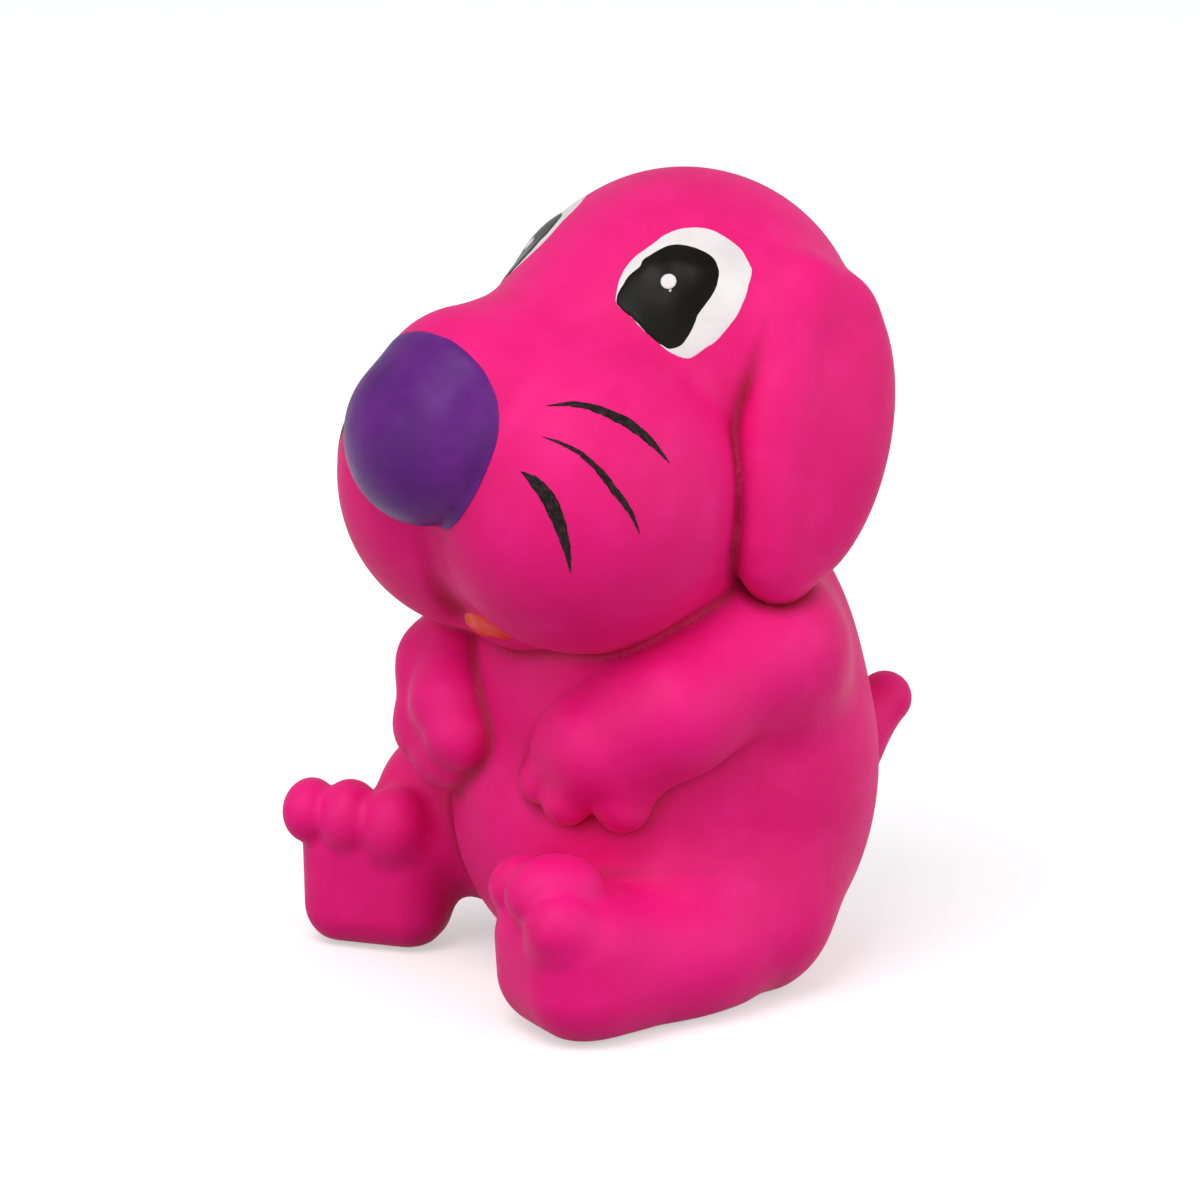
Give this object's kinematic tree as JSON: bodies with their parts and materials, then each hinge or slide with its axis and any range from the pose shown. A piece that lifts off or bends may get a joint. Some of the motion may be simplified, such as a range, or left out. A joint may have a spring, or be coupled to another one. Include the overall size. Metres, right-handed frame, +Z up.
{
  "type": "squeaky toy dog",
  "caption": "Soft hollow sitting toy dog with drooping ears, big domed nose, painted face, pressable head and a squeaker in its flat seat.",
  "frame": {"origin": "on the surface it sits on, under the middle of the whole toy", "axes": "+Z up, the dog faces -Y, its own left side is +X"},
  "size_m": [0.0862, 0.1102, 0.1341],
  "materials": {
    "pink_rubber": "matte",
    "wadding": "matte",
    "purple_paint": "satin",
    "red_paint": "satin",
    "black_paint": "matte",
    "gloss_black_paint": "gloss",
    "white_paint": "satin",
    "squeaker_plastic": "matte"
  },
  "bodies": {
    "body": {"torso_skin": "pink_rubber", "arm_left": "pink_rubber", "arm_right": "pink_rubber", "leg_left": "pink_rubber", "leg_right": "pink_rubber", "torso_filling": "wadding", "squeaker_cup": "squeaker_plastic", "squeaker_cap": "squeaker_plastic", "squeaker_reed": "squeaker_plastic"},
    "head": {"head_skin": "pink_rubber", "head_filling": "wadding", "nose": "purple_paint", "tongue": "red_paint", "whisker_left_1": "black_paint", "whisker_left_2": "black_paint", "whisker_left_3": "black_paint", "whisker_right_1": "black_paint", "whisker_right_2": "black_paint", "whisker_right_3": "black_paint", "eye_left": "white_paint", "eye_right": "white_paint", "pupil_left": "gloss_black_paint", "pupil_right": "gloss_black_paint", "glint_left": "white_paint", "glint_right": "white_paint"},
    "left_ear": {"ear_left": "pink_rubber"},
    "right_ear": {"ear_right": "pink_rubber"},
    "tail": {"tail": "pink_rubber"}
  },
  "joints": [
    {"name": "head_press", "type": "slide", "parent": "body", "child": "head", "axis": [0, 0, -1], "range_m": [0, 0.008], "stiffness_N_per_m": 1500, "springref_m": -0.0006, "deforming": ["torso_skin", "torso_filling", "arm_left", "arm_right", "leg_left", "leg_right"]},
    {"name": "ear_left_flex", "type": "hinge", "parent": "head", "child": "left_ear", "pos_m": [0.02643, 0.02605, 0.11977], "axis": [0.079, -0.9371, 0.3401], "range_deg": [0, 18], "stiffness_Nm_per_rad": 0.12},
    {"name": "ear_right_flex", "type": "hinge", "parent": "head", "child": "right_ear", "pos_m": [-0.02696, 0.0195, 0.11977], "axis": [-0.15, 0.9283, -0.3401], "range_deg": [0, 18], "stiffness_Nm_per_rad": 0.12},
    {"name": "tail_flex", "type": "hinge", "parent": "body", "child": "tail", "pos_m": [0.00182, 0.0412, 0.0365], "axis": [1, 0, 0], "range_deg": [0, 15], "stiffness_Nm_per_rad": 0.08}
  ]
}
